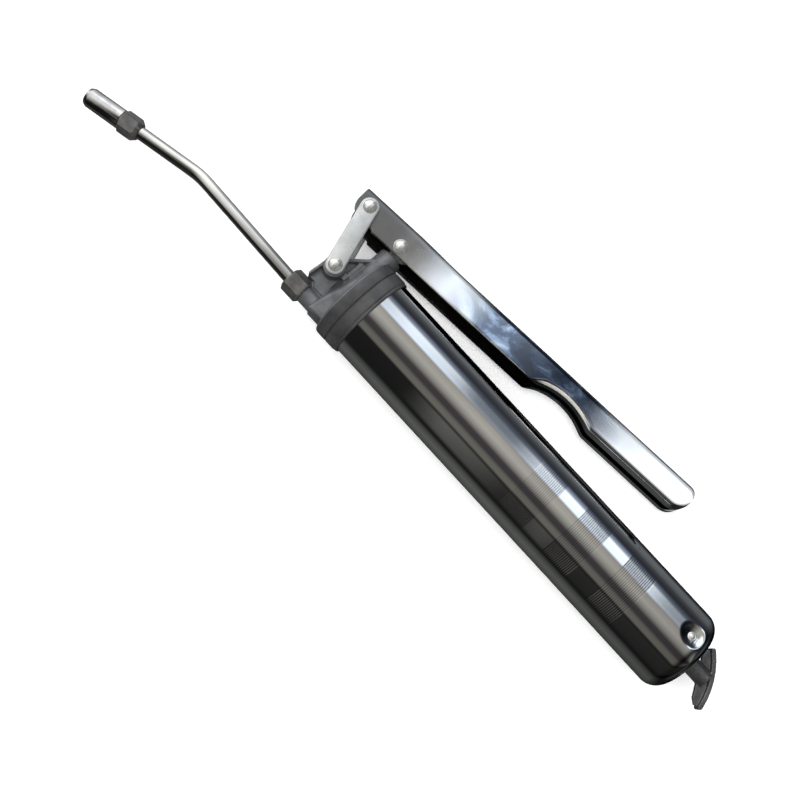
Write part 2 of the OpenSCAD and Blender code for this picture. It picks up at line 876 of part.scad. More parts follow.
head();
head_gasket();
barrel();
tail_plug();
rod_guide();
spring_seat();
plunger_packing();
gland_ring();
check_ball();
check_spring();
spout_nut();
spout_ferrule();
spout_tube();
coupler_body();
coupler_sleeve();
coupler_jaws();
coupler_seal();
coupler_spring();
head_rivet();
link_near();
link_far();
link_rivet();
lever();
plunger_rivet();
plunger();
follower_cup();
follower_front_plate();
follower_back_plate();
follower_nut();
follower_spring();
follower_rod();
rod_collar();
t_handle();
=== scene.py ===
import json
import math

import bmesh
import bpy
from mathutils import Matrix, Vector, noise


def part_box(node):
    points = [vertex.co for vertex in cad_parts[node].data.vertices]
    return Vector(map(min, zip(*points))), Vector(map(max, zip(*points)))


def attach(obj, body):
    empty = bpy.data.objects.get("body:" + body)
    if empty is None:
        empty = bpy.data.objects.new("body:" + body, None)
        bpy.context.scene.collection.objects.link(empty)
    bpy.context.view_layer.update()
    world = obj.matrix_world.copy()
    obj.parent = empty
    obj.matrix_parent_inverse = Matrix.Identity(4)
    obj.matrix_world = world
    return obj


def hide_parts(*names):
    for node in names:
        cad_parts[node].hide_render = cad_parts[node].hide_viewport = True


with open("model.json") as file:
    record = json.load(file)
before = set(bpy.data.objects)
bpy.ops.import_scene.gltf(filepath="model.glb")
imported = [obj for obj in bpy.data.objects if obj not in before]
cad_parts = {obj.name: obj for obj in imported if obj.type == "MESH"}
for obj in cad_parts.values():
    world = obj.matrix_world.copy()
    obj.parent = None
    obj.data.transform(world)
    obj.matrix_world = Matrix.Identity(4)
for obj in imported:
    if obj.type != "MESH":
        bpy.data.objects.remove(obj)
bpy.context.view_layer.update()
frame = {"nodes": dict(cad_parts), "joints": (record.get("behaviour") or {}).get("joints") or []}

# Lengths are in millimetres in the gun's own frame unless a name says otherwise:
# x runs along the barrel from the skirt's open edge, y towards the lever, z along the pins.
MM = 0.001
TAU = 2 * math.pi
SCENE = bpy.context.scene
JOINTS = {j["name"]: j for j in frame["joints"]}
ROD_POINT_X = 100            # where the rod's joint point lies on the barrel's axis


def gun_frame():
    """The gun's own frame in the row frame, in metres."""
    x = Vector(JOINTS["follower_slide"]["axis"]).normalized()
    y = Vector(JOINTS["link_swing"]["axis"]).cross(x).normalized()
    origin = Vector(JOINTS["rod_turn"]["pos_m"]) - ROD_POINT_X * MM * x
    return Matrix.Translation(origin) @ Matrix((x, y, x.cross(y))).transposed().to_4x4()


GUN = gun_frame()


def in_gun(point):
    return (GUN.inverted() @ Vector(point)) / MM


def middle(node):
    low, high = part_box(node)
    return in_gun((low + high) / 2)


PIVOT_A = in_gun(JOINTS["link_swing"]["pos_m"])
PIVOT_B = in_gun(JOINTS["lever_swing"]["pos_m"])
PIVOT_C = middle("plunger_rivet")

# ---------- sizes of the CAD nodes that are built again here ----------

BARREL_R = 28.5
BARREL_WALL = 1.2
BARREL_START = -13.9
BARREL_LEN = 282.6
TAIL_CORNER_R = 10.8
TAIL_HOLE_EDGE = 0.3         # round-over of the tail's hole
BAND_STARTS = (134.8, 172.85, 210.9)
BAND_RINGS = 15
RING_PITCH = 1.35
RING_DEPTH = 0.06
DIMPLE_X = BARREL_LEN - 13.8
DIMPLE_TURN = math.radians(11.3)
DIMPLE_R = 8.8
DIMPLE_DEPTH = 2.6
GUIDE_R = 6.5
GUIDE_OUT = 0.5
GUIDE_FLANGE_R = 10
GUIDE_FLANGE_LEN = 2
ROD_R = 3.5
ROD_GAP = 0.05
BUTTON_R = 2.85
BUTTON_ROOT = -2.4           # heights of the tail button above the dimple's floor
BUTTON_SHOULDER = 0.75
BUTTON_TOP = 1.5
OUTLET_Y = -20.7
NUT_X = -53.7
NUT_LEN = 13.4
NUT_FLATS = 15
NUT_TURN = 11
NUT_CHAMFER = 1.1
NUT_FACE_IN = 0.5            # how far the turned face stays inside the flats
NUT_THREAD_R = 5.45
NUT_LIP = 2.5                # the nut's lip that holds the tube
TUBE_R = 4.3
TUBE_GAP = 0.1
TUBE_WALL = 1.7
TUBE_RISE = math.radians(1.4)
TUBE_BACK = 7.7              # how far the tube reaches into the nut
TUBE_STRAIGHT = 78.8
TUBE_BEND = math.radians(13.6)
TUBE_BEND_R = 55
TUBE_AFTER = 46.6
HEX_FLATS = 13.6
HEX_START, HEX_END = -6.8, 7.0
HEX_TURN = -14
STUB_R = 4.9                 # the body's tube inside the sleeve
STUB_LEN = 10
STUB_BORE_R = 3.8
PASSAGE_R = 2.6
BORE_X = 4
SLEEVE_R = 6.6
SLEEVE_BORE_R = 4.95
SLEEVE_START, SLEEVE_END = 7.1, 33.3
SLEEVE_LIP = 1.6
MOUTH_R = 3.8
LEVER_HALF = 12.5
LEVER_T = 1.5
LEVER_LEN = 278.5
LEVER_H = 21.3
LEVER_BEND = 4
LEVER_SLOPE = math.radians(4.7)
LEVER_FRONT = PIVOT_B + Vector((-9.8, 9.8, 0))
NOSE = Vector((8.96, -10.57))
NOSE_R = 9.2
WALL_START = 19.5
SCALLOP_X = 179.5
SCALLOP_R = 45.7
SCALLOP_RISE = 7
SCALLOP_HALF = 24.3
SCALLOP_SOFT = 1.2           # blend between the scallop and the straight edge
GRIP_H = 20.3
GRIP_BEND = 3.5
GRIP_LIP = 8.5
EDGE_R = 0.5                 # the lower edge's bend in front of the scallop
EDGE_LIP = LEVER_T + 0.25
LEAN_MIDDLE = 3.5
LEAN_GRIP = 4
WAVE_DEPTH = 0.2
WAVE_X, WAVE_Y = 48, 17
TAIL_TOP_R = 5
TAIL_LOW_R = 10
LINK_R = 6.1
LINK_T = 3
LINK_EDGE_R = 1.1
LINK_Z = LEVER_HALF + 0.1
SKIRT_R = 30.4
SKIRT_X = -0.7
SKIRT_ROOT_R = 24
HEAD_X = -19.9
SEAT_X = -14.4
GROOVE_X = -10.8
GROOVE_HALF = 0.6
GROOVE_DEPTH = 0.8
RIVET_R = 2.5
RIVET_HEAD_R = 4.7
RIVET_DOME = 2.6
RIVET_RIM = 0.25

# ---------- materials ----------

BUMP_M = 0.0003


def add_node(tree, kind, values=None, **settings):
    made = tree.nodes.new(kind)
    for key, value in settings.items():
        setattr(made, key, value)
    for key, value in (values or {}).items():
        if isinstance(value, bpy.types.NodeSocket):
            tree.links.new(value, made.inputs[key])
        else:
            made.inputs[key].default_value = value
    return made


def math_node(tree, operation, *values, clamp=False):
    return add_node(tree, "ShaderNodeMath", dict(enumerate(values)), operation=operation,
                    use_clamp=clamp).outputs[0]


def ramp(tree, factor, *stops):
    """A colour ramp with the given (place, colour) stops."""
    made = add_node(tree, "ShaderNodeValToRGB", {"Fac": factor})
    elements = made.color_ramp.elements
    while len(elements) < len(stops):
        elements.new(0.5)
    for element, (place, colour) in zip(elements, stops):
        element.position = place
        element.color = (*colour, 1)
    return made.outputs["Color"]


def grey(value):
    return (value, value, value)


def noise_at(tree, place, scale, detail=4, roughness=0.55, distortion=0.0):
    values = {"Vector": place, "Scale": scale, "Detail": detail, "Roughness": roughness,
              "Distortion": distortion}
    return add_node(tree, "ShaderNodeTexNoise", values).outputs[0]


def mix(tree, factor, a, b):
    """Mixes two colours, given as sockets or as triples."""
    values = {"Factor": factor}
    made = add_node(tree, "ShaderNodeMix", values, data_type="RGBA")
    for socket, value in zip((made.inputs[6], made.inputs[7]), (a, b)):
        if isinstance(value, bpy.types.NodeSocket):
            tree.links.new(value, socket)
        else:
            socket.default_value = (*value, 1)
    return made.outputs[2]


def new_material(name):
    material = bpy.data.materials.new(name)
    material.use_nodes = True
    tree = material.node_tree
    shader = tree.nodes["Principled BSDF"]
    place = add_node(tree, "ShaderNodeTexCoord").outputs["Object"]
    return material, tree, shader, place


def stretched(tree, place, scale):
    return add_node(tree, "ShaderNodeMapping", {"Vector": place, "Scale": scale}).outputs[0]


def edge_mask(tree, start=0.52, end=0.6):
    """1 on convex edges, from the mesh's own curvature."""
    pointy = add_node(tree, "ShaderNodeNewGeometry").outputs["Pointiness"]
    values = {"Value": pointy, "From Min": start, "From Max": end}
    return add_node(tree, "ShaderNodeMapRange", values).outputs[0]


def metal(name, dark, light, rough, mottle, grain, bump, metallic=1.0, stretch=(1, 1, 1),
          edge_wear_and_highlight=None):
    """A metal whose colour, roughness and surface all vary; mottle and grain are spots per metre."""
    material, tree, shader, place = new_material(name)
    place = stretched(tree, place, stretch)
    cloud = noise_at(tree, place, mottle)
    colour = ramp(tree, cloud, (0.35, dark), (0.68, light))
    # Convex edges are lightened towards this colour: partly worn metal, partly a painted highlight.
    if edge_wear_and_highlight:
        colour = mix(tree, math_node(tree, "MULTIPLY", edge_mask(tree), 0.8), colour, edge_wear_and_highlight)
    fine = noise_at(tree, place, grain, detail=3)
    smudge = noise_at(tree, place, mottle * 2.3, detail=6, distortion=0.6)
    values = {"Value": smudge, "From Min": 0.3, "From Max": 0.7,
              "To Min": rough[0], "To Max": rough[1]}
    roughness = add_node(tree, "ShaderNodeMapRange", values).outputs[0]
    normal = add_node(tree, "ShaderNodeBump", {"Strength": bump, "Distance": BUMP_M, "Height": fine})
    sockets = {"Base Color": colour, "Roughness": roughness, "Normal": normal.outputs[0]}
    for key, socket in sockets.items():
        tree.links.new(socket, shader.inputs[key])
    shader.inputs["Metallic"].default_value = metallic
    return material


def face_value(tree, name):
    return add_node(tree, "ShaderNodeAttribute", attribute_name=name).outputs["Fac"]


def lever_chrome():
    """Chrome over pressed sheet, satin at the head end. Its colour paints reflections: dark at the head
    end, clouded dark and blue-white patches before the scallop, bright at the grip.
    """
    material, tree, shader, place = new_material("lever_chrome")
    along = add_node(tree, "ShaderNodeSeparateXYZ", {"Vector": place}).outputs[0]
    front = (GUN @ (LEVER_FRONT * MM)).x
    values = {"Value": along, "From Min": front, "From Max": front + LEVER_LEN * MM}
    run = add_node(tree, "ShaderNodeMapRange", values).outputs[0]
    cloud = noise_at(tree, stretched(tree, place, (0.7, 1.2, 1.0)), 42, detail=7, roughness=0.62,
                     distortion=0.7)
    # Painted reflection: dark blue and blue-white patches in the chrome's colour.
    reflection_patches = ramp(tree, cloud, (0.4, (0.025, 0.04, 0.075)), (0.5, (0.08, 0.12, 0.2)),
                  (0.57, (0.34, 0.44, 0.6)), (0.65, (0.88, 0.95, 1)))
    # Where along the lever the painted reflection patches lie.
    patch_reach = ramp(tree, run, (0.29, grey(0)), (0.4, grey(0.85)), (0.68, grey(0.92)), (0.8, grey(0)))
    # Painted reflection along the lever: darker towards the head end, near white further back.
    reflection_sweep = ramp(tree, run, (0.0, grey(0.17)), (0.12, grey(0.2)), (0.2, grey(0.42)),
                 (0.28, (0.93, 0.95, 0.98)))
    lip, inside, wall = [face_value(tree, name) for name in ("lip", "inside", "wall")]
    # Painted highlight: cream on the lip faces.
    lip_highlight = ramp(tree, cloud, (0.3, (0.6, 0.56, 0.5)), (0.6, (0.95, 0.92, 0.85)))
    # Painted shade: near black over the whole inside of the sheet.
    inside_shade = ramp(tree, cloud, (0.3, (0.02, 0.017, 0.014)), (0.7, (0.07, 0.062, 0.052)))
    colour = mix(tree, patch_reach, reflection_sweep, reflection_patches)
    colour = mix(tree, lip, colour, lip_highlight)
    colour = mix(tree, inside, colour, inside_shade)
    smudge = math_node(tree, "ADD", noise_at(tree, place, 130, detail=6), 0.5)
    rough = ramp(tree, run, (0.0, grey(0.34)), (0.2, grey(0.26)), (0.36, grey(0.09)), (1.0, grey(0.06)))
    rough = math_node(tree, "MULTIPLY", rough, smudge)
    dull = math_node(tree, "MULTIPLY", math_node(tree, "ADD", lip, inside), 0.25)
    rough = math_node(tree, "ADD", rough, dull)
    fine = noise_at(tree, stretched(tree, place, (0.3, 1, 1)), 900, detail=2)
    normal = add_node(tree, "ShaderNodeBump", {"Strength": 0.03, "Distance": BUMP_M, "Height": fine})
    milky = ramp(tree, run, (0.17, grey(0)), (0.25, grey(0.4)), (0.33, grey(0.3)), (0.42, grey(0)),
                 (0.7, grey(0)), (0.8, grey(0.4)))
    milky = math_node(tree, "MULTIPLY", milky, wall)
    milky = math_node(tree, "MAXIMUM", milky, math_node(tree, "MULTIPLY", lip, 0.5))
    bare = math_node(tree, "SUBTRACT", 1.0, milky)
    sockets = {"Base Color": colour, "Roughness": rough, "Normal": normal.outputs[0], "Metallic": bare}
    for key, socket in sockets.items():
        tree.links.new(socket, shader.inputs[key])
    return material


CHROME = metal("barrel_chrome", (0.86, 0.86, 0.87), (0.96, 0.96, 0.97), (0.03, 0.075), 26, 700, 0.015,
               stretch=(0.35, 1, 1))
TUBE_CHROME = metal("tube_chrome", (0.52, 0.51, 0.49), (0.78, 0.77, 0.75), (0.08, 0.16), 60, 900, 0.04,
                    stretch=(0.4, 1, 1))
SLEEVE_CHROME = metal("sleeve_chrome", (0.44, 0.435, 0.43), (0.68, 0.675, 0.67), (0.04, 0.1), 110, 900,
                      0.04)
LEVER_CHROME = lever_chrome()
CAST = metal("die_cast", (0.12, 0.124, 0.13), (0.2, 0.204, 0.21), (0.38, 0.54), 90, 1500, 0.25,
             metallic=0.6, edge_wear_and_highlight=(0.45, 0.455, 0.46))
# Painted shade: the turned skirt is the same casting as the head, coloured darker and with no lightened
# edges.
SKIRT_PAINTED_SHADE = metal("die_cast_skirt_painted_shade", (0.075, 0.075, 0.077), (0.12, 0.12, 0.122), (0.36, 0.5), 90, 1500,
                   0.25, metallic=0.6)
ZINC = metal("satin_zinc", (0.45, 0.46, 0.46), (0.6, 0.61, 0.61), (0.26, 0.38), 80, 1500, 0.04,
             metallic=0.6, edge_wear_and_highlight=(0.95, 0.96, 0.97))
RIVET = metal("bright_zinc", (0.78, 0.77, 0.73), (0.94, 0.93, 0.91), (0.16, 0.27), 150, 1800, 0.05,
              metallic=0.8)
DARK = metal("dark_steel", (0.1, 0.097, 0.095), (0.19, 0.186, 0.182), (0.28, 0.42), 160, 1400, 0.1,
             metallic=0.7, edge_wear_and_highlight=(0.5, 0.49, 0.48))
NICKEL = metal("grey_nickel", (0.11, 0.11, 0.115), (0.2, 0.2, 0.21), (0.2, 0.34), 110, 1300, 0.05,
               metallic=0.8, edge_wear_and_highlight=(0.6, 0.61, 0.62))
SPRING = metal("spring_steel", (0.22, 0.22, 0.23), (0.4, 0.41, 0.43), (0.25, 0.4), 120, 1500, 0.06)
PLATE = metal("zinc_plate", (0.5, 0.52, 0.54), (0.68, 0.7, 0.72), (0.26, 0.4), 90, 1300, 0.06)
BRASS = metal("brass", (0.5, 0.36, 0.14), (0.72, 0.56, 0.28), (0.2, 0.36), 140, 1500, 0.06)
RUBBER = metal("black_rubber", (0.012, 0.012, 0.012), (0.035, 0.035, 0.036), (0.55, 0.75), 120, 1900, 0.2,
               metallic=0.0)

# ---------- mesh tools ----------


def link_object(name, data):
    obj = bpy.data.objects.new(name, data)
    SCENE.collection.objects.link(obj)
    return obj


def smooth_shade(mesh, sharp):
    mesh.polygons.foreach_set("use_smooth", [True] * len(mesh.polygons))
    mesh.set_sharp_from_angle(angle=math.radians(sharp))


def dress(obj, body, nodes, material, sharp):
    """Gives a piece its shading and material, and ties it to the CAD."""
    bm = bmesh.new()
    bm.from_mesh(obj.data)
    bmesh.ops.recalc_face_normals(bm, faces=bm.faces)
    bm.to_mesh(obj.data)
    bm.free()
    smooth_shade(obj.data, sharp)
    obj.data.materials.clear()
    obj.data.materials.append(material)
    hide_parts(*nodes)
    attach(obj, body)
    return obj


def gun_mesh(name, shape, place=Matrix()):
    """A mesh from (vertices, faces) in millimetres, put in the gun's frame by place."""
    verts, faces = shape
    mesh = bpy.data.meshes.new(name)
    mesh.from_pydata([GUN @ ((place @ Vector(v)) * MM) for v in verts], [], faces)
    return mesh


def solid(name, shape, body, nodes, material, place=Matrix(), sharp=32):
    """A new piece that stands for the given CAD nodes."""
    obj = link_object(name, gun_mesh(name, shape, place))
    return dress(obj, body, nodes, material, sharp)


def rounded(corners, steps=4):
    """A closed (x, r) profile whose corners, given as (x, r, fillet), are turned to arcs."""
    out = []
    for i, (x, r, fillet) in enumerate(corners):
        corner = Vector((x, r))
        if not fillet:
            out.append(corner)
            continue
        before = (Vector(corners[i - 1][:2]) - corner).normalized()
        after = (Vector(corners[(i + 1) % len(corners)][:2]) - corner).normalized()
        half = before.angle(after) / 2
        centre = corner + (before + after).normalized() * (fillet / math.sin(half))
        reach = fillet / math.tan(half)
        start, end = corner + before * reach - centre, corner + after * reach - centre
        out += [centre + start.lerp(end, k / steps).normalized() * fillet for k in range(steps + 1)]
    return out


def lathe(profile, around=96, flats=None, turn=0):
    """A closed (x, r) profile turned about x, and cut to a hexagon where flats is given."""
    verts, rings = [], []
    for x, r in profile:
        if r < 1e-6:
            rings.append([len(verts)] * around)
            verts.append((x, 0, 0))
            continue
        rings.append([len(verts) + k for k in range(around)])
        for k in range(around):
            angle = 360 * k / around
            limit = flats / 2 / math.cos(math.radians(angle % 60 - 30)) if flats else r
            out, at = min(r, limit), math.radians(angle + turn)
            verts.append((x, out * math.cos(at), out * math.sin(at)))
    return verts, ring_faces(rings, loop=True)


def ring_faces(rings, loop):
    faces = []
    for i in range(len(rings) if loop else len(rings) - 1):
        a, b = rings[i], rings[(i + 1) % len(rings)]
        for k in range(len(a)):
            j = (k + 1) % len(a)
            face = list(dict.fromkeys((a[k], a[j], b[j], b[k])))
            if len(face) > 2:
                faces.append(face)
    return faces


def skin(rings, loop=False):
    """A closed surface through rings of points, with flat ends unless it is a loop."""
    count = len(rings[0])
    ids = [[i * count + k for k in range(count)] for i in range(len(rings))]
    faces = ring_faces(ids, loop)
    if not loop:
        faces += [ids[0][::-1], ids[-1]]
    return [p for ring in rings for p in ring], faces


def baked(obj):
    """Applies the object's modifiers."""
    graph = bpy.context.evaluated_depsgraph_get()
    made = bpy.data.meshes.new_from_object(obj.evaluated_get(graph))
    obj.modifiers.clear()
    obj.data = made
    return obj


def cast_copy(node, name, voxel_m, passes, body, material, cutter=None):
    """The CAD node, less the cutter, as a casting: remeshed, with every corner and root softened."""
    obj = link_object(name, frame["nodes"][node].data.copy())
    if cutter:
        trim = obj.modifiers.new("trim", "BOOLEAN")
        trim.object = cutter
        trim.solver = "EXACT"
    remesh = obj.modifiers.new("remesh", "REMESH")
    remesh.mode = "VOXEL"
    remesh.voxel_size = voxel_m
    soften = obj.modifiers.new("soften", "SMOOTH")
    soften.factor = 0.5
    soften.iterations = passes
    return dress(baked(obj), body, [node], material, 60)


# ---------- head ----------


def make_head():
    """The casting, with the turned skirt as a piece of its own."""
    cut_start, cut_end, cut_in, cut_out, around = HEAD_X + 1.5, 2, SKIRT_R - 3, SKIRT_R + 0.1, 192
    ring = [(cut_start, cut_in), (cut_start, cut_out), (cut_end, cut_out), (cut_end, cut_in)]
    cutter = link_object("cutter", gun_mesh("cutter", lathe(ring, around)))
    cast_copy("head", "head_casting", 0.0005, 4, "gun", CAST, cutter)
    bpy.data.objects.remove(cutter)
    low, seat_r, seat_x = SKIRT_R - GROOVE_DEPTH, BARREL_R + 0.05, SEAT_X + 0.1
    skirt = rounded([(HEAD_X, SKIRT_ROOT_R, 0), (HEAD_X, SKIRT_R - 1.4, 1.2),
                     (HEAD_X + 1.8, SKIRT_R - 0.05, 1.4), (GROOVE_X - GROOVE_HALF, SKIRT_R, 0.35),
                     (GROOVE_X - 0.25, low, 0.15),
                     (GROOVE_X + 0.25, low, 0.15), (GROOVE_X + GROOVE_HALF, SKIRT_R, 0.35),
                     (SKIRT_X - 2.6, SKIRT_R - 0.1, 1.5), (SKIRT_X - 1.7, SKIRT_R - 0.6, 0.8),
                     (SKIRT_X - 0.9, SKIRT_R - 0.5, 0.3), (SKIRT_X, SKIRT_R - 0.7, 0.3),
                     (SKIRT_X, seat_r, 0), (seat_x, seat_r, 0), (seat_x, SKIRT_ROOT_R, 0)])
    solid("head_skirt", lathe(skirt, around), "gun", ["head"], SKIRT_PAINTED_SHADE, sharp=40)


# ---------- barrel ----------


def barrel_stations():
    """Places along the barrel: close together on the rings, the dimple and the tail's corner."""
    places = [BARREL_START, -5, 0, 2, 40, 80, 120, 245, 254]
    per_ring, near, far = 6, 0.3, 3
    for start in BAND_STARTS:
        places += [start - far, start - near]
        places += [start + i * RING_PITCH / per_ring for i in range(BAND_RINGS * per_ring + 1)]
        places += [start + BAND_RINGS * RING_PITCH + after for after in (near, far)]
    dimple_step, dimple_count = 0.55, 24
    places += [DIMPLE_X - DIMPLE_R - 2 + dimple_step * i for i in range(dimple_count)]
    return sorted(places)


def ring_dip(x):
    for start in BAND_STARTS:
        turn = (x - start) / RING_PITCH
        if 0 <= turn <= BAND_RINGS:
            return RING_DEPTH * (0.5 - 0.5 * math.cos(TAU * turn))
    return 0


def dimpled(x, r, angle):
    """The radius at (x, angle) once the round dimple is pressed in."""
    sphere_r = (DIMPLE_R ** 2 + DIMPLE_DEPTH ** 2) / (2 * DIMPLE_DEPTH)
    centre = BARREL_R - DIMPLE_DEPTH + sphere_r
    off = angle - (math.pi / 2 - DIMPLE_TURN)
    inside = sphere_r ** 2 - (x - DIMPLE_X) ** 2 - (centre * math.sin(off)) ** 2
    if inside <= 0 or math.cos(off) < 0:
        return r
    floor, soft = centre * math.cos(off) - math.sqrt(inside), 0.9
    h = max(0.0, min(1.0, 0.5 + 0.5 * (r - floor) / soft))
    return r * (1 - h) + floor * h - soft * h * (1 - h)


def make_barrel():
    outer = [(x, BARREL_R) for x in barrel_stations() if x < BARREL_LEN - TAIL_CORNER_R]
    inner_x, inner_r, steps = BARREL_LEN - BARREL_WALL, BARREL_R - BARREL_WALL, 26
    corner = (BARREL_LEN - TAIL_CORNER_R, BARREL_R - TAIL_CORNER_R)
    for i in range(steps + 1):
        a = math.pi / 2 * (1 - i / steps)
        outer.append((corner[0] + TAIL_CORNER_R * math.cos(a), corner[1] + TAIL_CORNER_R * math.sin(a)))
    outer += [(BARREL_LEN, 12), (BARREL_LEN, GUIDE_R + TAIL_HOLE_EDGE),
              (BARREL_LEN - TAIL_HOLE_EDGE, GUIDE_R)]
    dented_r, dimple_start = inner_r - (DIMPLE_DEPTH + BARREL_WALL), DIMPLE_X - DIMPLE_R
    inner = [(inner_x, GUIDE_R), (inner_x, corner[1]), (corner[0] + 3, dented_r),
             (dimple_start - 5, dented_r), (dimple_start - 12, inner_r), (BARREL_START, inner_r)]
    around, verts, rings = 256, [], []
    for i, (x, r) in enumerate(outer + inner):
        rings.append([len(verts) + k for k in range(around)])
        for k in range(around):
            angle = TAU * k / around
            out = dimpled(x, r - ring_dip(x), angle) if i < len(outer) else r
            verts.append((x, out * math.cos(angle), out * math.sin(angle)))
    solid("barrel_tube", (verts, ring_faces(rings, loop=True)), "gun", ["barrel"], CHROME,
          sharp=50)


def make_tail_parts():
    out = Matrix.Rotation(-DIMPLE_TURN, 4, "X") @ Matrix.Translation((DIMPLE_X, 0, BARREL_R - DIMPLE_DEPTH))
    button = rounded([(BUTTON_ROOT, 0, 0), (BUTTON_ROOT, BUTTON_R, 0),
                      (BUTTON_SHOULDER - 0.2, BUTTON_R, 0.35), (BUTTON_SHOULDER, 2.1, 0.1),
                      (BUTTON_SHOULDER - 0.15, 1.85, 0.1), (BUTTON_TOP - 0.3, 1.3, 0.5),
                      (BUTTON_TOP, 0, 0)])
    solid("tail_button", lathe(button, 48), "gun", ["tail_plug"], RIVET,
          out @ Matrix.Rotation(-math.pi / 2, 4, "Y"))
    bore, outside, wall_x = ROD_R + ROD_GAP, BARREL_LEN + GUIDE_OUT, BARREL_LEN - BARREL_WALL
    flange_x = wall_x - GUIDE_FLANGE_LEN
    bush = rounded([(flange_x, bore, 0), (flange_x, GUIDE_FLANGE_R, 0), (wall_x, GUIDE_FLANGE_R, 0),
                    (wall_x, GUIDE_R, 0), (outside, GUIDE_R, 0.3), (outside, bore, 0.3)])
    solid("rod_bush", lathe(bush, 64), "gun", ["rod_guide"], DARK)


# ---------- spout ----------

PAST_NUT = Matrix.Translation((NUT_X, OUTLET_Y, 0)) @ Matrix.Rotation(-TUBE_RISE, 4, "Z")
SPOUT_END = (PAST_NUT @ Matrix.Translation((-TUBE_STRAIGHT, -TUBE_BEND_R, 0))
             @ Matrix.Rotation(TUBE_BEND, 4, "Z") @ Matrix.Translation((-TUBE_AFTER, TUBE_BEND_R, 0))
             @ Matrix.Rotation(math.pi, 4, "Z"))


def tube_line():
    """(point, outward normal in the bend's plane) along the tube, in the frame past the nut."""
    line = [(Vector((TUBE_BACK - i * (TUBE_BACK + TUBE_STRAIGHT) / 10, 0, 0)), 0)
            for i in range(11)]
    centre = Vector((-TUBE_STRAIGHT, -TUBE_BEND_R, 0))
    bend_steps = 14
    for i in range(1, bend_steps + 1):
        a = TUBE_BEND * i / bend_steps
        line.append((centre + TUBE_BEND_R * Vector((-math.sin(a), math.cos(a), 0)), a))
    last, a = line[-1]
    along = Vector((-math.cos(a), -math.sin(a), 0))
    line += [(last + along * TUBE_AFTER * i / 6, a) for i in range(1, 7)]
    return line


def tube_ring(point, turn, r, around=64):
    normal, side = Vector((-math.sin(turn), math.cos(turn), 0)), Vector((0, 0, 1))
    return [point + r * (math.cos(TAU * k / around) * normal + math.sin(TAU * k / around) * side)
            for k in range(around)]


def make_spout():
    line = tube_line()
    rings = [tube_ring(p, a, TUBE_R) for p, a in line]
    rings += [tube_ring(p, a, TUBE_R - TUBE_WALL) for p, a in reversed(line)]
    solid("spout_pipe", skin(rings, loop=True), "gun", ["spout_tube"], TUBE_CHROME, PAST_NUT)
    corner = NUT_FLATS / 2 / math.cos(math.radians(30))
    hole, face = TUBE_R + TUBE_GAP, NUT_FLATS / 2 - NUT_FACE_IN
    nut = rounded([(0, hole, 0.3), (0, face, 0.2), (NUT_CHAMFER, corner, 0.3),
                   (NUT_LEN - NUT_CHAMFER, corner, 0.3), (NUT_LEN, face, 0.2), (NUT_LEN, NUT_THREAD_R, 0.2),
                   (NUT_LIP, NUT_THREAD_R, 0), (NUT_LIP, hole, 0)])
    solid("spout_hex_nut", lathe(nut, 192, NUT_FLATS, NUT_TURN), "gun", ["spout_nut"], DARK,
          Matrix.Translation((NUT_X, OUTLET_Y, 0)), sharp=24)


def make_coupler():
    corner = HEX_FLATS / 2 / math.cos(math.radians(30))
    body = rounded([(HEX_START, TUBE_R, 0.2), (HEX_START, 5.5, 0.5), (HEX_START + 2.9, corner + 0.05, 2.2),
                    (HEX_END - 0.9, corner + 0.05, 0.4), (HEX_END, HEX_FLATS / 2 - 0.3, 0.2),
                    (HEX_END, STUB_R, 0), (HEX_END + STUB_LEN, STUB_R, 0),
                    (HEX_END + STUB_LEN, STUB_BORE_R, 0), (BORE_X, STUB_BORE_R, 0),
                    (BORE_X, PASSAGE_R, 0), (0, PASSAGE_R, 0), (0, TUBE_R, 0)], 6)
    solid("coupler_hex", lathe(body, 192, HEX_FLATS, HEX_TURN), "gun", ["coupler_body"], DARK,
          SPOUT_END, sharp=24)
    lip_x = SLEEVE_END - SLEEVE_LIP
    sleeve = rounded([(SLEEVE_START, SLEEVE_BORE_R, 0), (SLEEVE_START, SLEEVE_R, 0.5),
                      (SLEEVE_END - 2.4, SLEEVE_R - 0.02, 2.5), (SLEEVE_END, SLEEVE_R - 1.2, 0.5),
                      (SLEEVE_END, MOUTH_R, 0.35), (lip_x, MOUTH_R, 0), (lip_x, SLEEVE_BORE_R, 0)], 6)
    solid("coupler_barrel", lathe(sleeve, 96), "gun", ["coupler_sleeve"], SLEEVE_CHROME,
          SPOUT_END)


# ---------- linkage ----------


def stadium(length, r, steps=20):
    """Points round a bar with half-round ends, from (0, 0) to (length, 0)."""
    turns = [math.pi / 2 + math.pi * i / steps for i in range(steps + 1)]
    left = [Vector((r * math.cos(a), r * math.sin(a))) for a in turns]
    return left + [Vector((length, 0)) - p for p in left]


def bar(length, r, thick, edge, steps=4):
    """A flat bar with rolled edges, its near face at z = thick."""
    turns = [math.pi / 2 * i / steps for i in range(steps + 1)]
    levels = [(edge * (1 - math.cos(a)), edge * (1 - math.sin(a))) for a in turns]
    levels += [(thick - z, inset) for z, inset in reversed(levels)]
    return skin([[(*p, z) for p in stadium(length, r - inset)] for z, inset in levels])


def make_links():
    run = PIVOT_B - PIVOT_A
    place = Matrix.Translation(PIVOT_A) @ Matrix.Rotation(math.atan2(run.y, run.x), 4, "Z")
    for side, node in ((1, "link_near"), (-1, "link_far")):
        flip = Matrix.Diagonal((1, side, side, 1))
        solid(node + "_bar", bar(run.length, LINK_R, LINK_T, LINK_EDGE_R), "links", [node],
              ZINC, place @ flip @ Matrix.Translation((0, 0, LINK_Z)))


